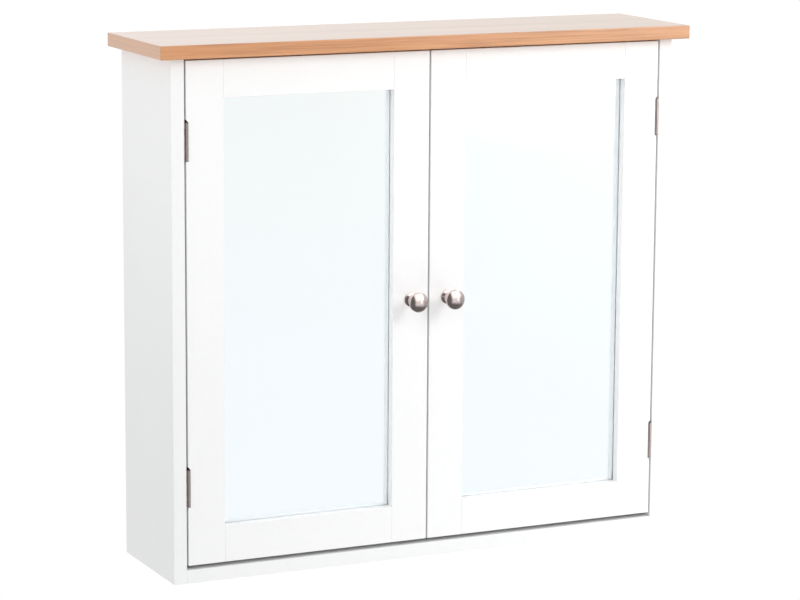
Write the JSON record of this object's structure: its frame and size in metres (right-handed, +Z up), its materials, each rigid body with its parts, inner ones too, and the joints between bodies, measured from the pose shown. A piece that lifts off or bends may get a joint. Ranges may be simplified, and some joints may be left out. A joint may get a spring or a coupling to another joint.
{
  "type": "hanging wall cabinet",
  "caption": "White wall-hung cabinet with a pair of framed mirror doors on butt hinges, a wood-effect overhanging top board, small round metal knobs and adjustable shelves.",
  "frame": {"origin": "midway between the two wall screw holes, on the wall plane at the back of the cabinet", "axes": "+Y towards the wall, so the doors face -Y; +X to the right of a person facing the doors; +Z up"},
  "size_m": [0.6, 0.166, 0.551],
  "materials": {
    "oak_foil": "printed oak-effect foil, satin, fine straight grain",
    "white_board": "white melamine-type foil on fibreboard, satin",
    "white_door": "white painted fibreboard, satin",
    "white_hardboard": "thin hardboard with a white face",
    "brown_hardboard": "bare hardboard",
    "mirror_glass": "silvered float glass",
    "satin_nickel": "satin nickel plate",
    "hinge_nickel": "nickel-plated pressed steel",
    "zinc_steel": "zinc-plated steel",
    "cast_zinc": "die-cast zinc",
    "dowel_wood": "bare beech",
    "white_plastic": "moulded plastic",
    "magnet": "ferrite magnet"
  },
  "bodies": {
    "carcass": {"top_board": "oak_foil", "left_side": "white_board", "right_side": "white_board", "bottom_board": "white_board", "back_panel": "white_hardboard", "hanging_rail": "white_board", "shelf_upper": "white_board", "shelf_lower": "white_board", "shelf_pins": "zinc_steel", "cam_locks": "cast_zinc", "cam_bolts": "zinc_steel", "carcass_dowels": "dowel_wood", "back_nails": "zinc_steel", "left_catch_body": "white_plastic", "left_catch_magnet": "magnet", "right_catch_body": "white_plastic", "right_catch_magnet": "magnet", "catch_screws": "zinc_steel", "left_upper_side_leaf": "hinge_nickel", "left_lower_side_leaf": "hinge_nickel", "right_upper_side_leaf": "hinge_nickel", "right_lower_side_leaf": "hinge_nickel", "left_upper_hinge_pin": "hinge_nickel", "left_lower_hinge_pin": "hinge_nickel", "right_upper_hinge_pin": "hinge_nickel", "right_lower_hinge_pin": "hinge_nickel", "side_leaf_screws": "hinge_nickel"},
    "left_door": {"left_hinge_stile": "white_door", "left_meeting_stile": "white_door", "left_top_rail": "white_door", "left_bottom_rail": "white_door", "left_door_dowels": "dowel_wood", "left_mirror": "mirror_glass", "left_mirror_backing": "brown_hardboard", "left_backing_pins": "zinc_steel", "left_knob": "satin_nickel", "left_knob_screw": "zinc_steel", "left_strike_plate": "zinc_steel", "left_strike_screw": "zinc_steel", "left_upper_door_leaf": "hinge_nickel", "left_lower_door_leaf": "hinge_nickel", "left_leaf_screws": "hinge_nickel"},
    "right_door": {"right_hinge_stile": "white_door", "right_meeting_stile": "white_door", "right_top_rail": "white_door", "right_bottom_rail": "white_door", "right_door_dowels": "dowel_wood", "right_mirror": "mirror_glass", "right_mirror_backing": "brown_hardboard", "right_backing_pins": "zinc_steel", "right_knob": "satin_nickel", "right_knob_screw": "zinc_steel", "right_strike_plate": "zinc_steel", "right_strike_screw": "zinc_steel", "right_upper_door_leaf": "hinge_nickel", "right_lower_door_leaf": "hinge_nickel", "right_leaf_screws": "hinge_nickel"}
  },
  "joints": [
    {"name": "left_door_hinge", "type": "hinge", "parent": "carcass", "child": "left_door", "pos_m": [-0.2689, -0.14, -0.2305], "axis": [0, 0, -1], "range_deg": [0, 175]},
    {"name": "right_door_hinge", "type": "hinge", "parent": "carcass", "child": "right_door", "pos_m": [0.2689, -0.14, -0.2305], "axis": [0, 0, 1], "range_deg": [0, 175]}
  ]
}
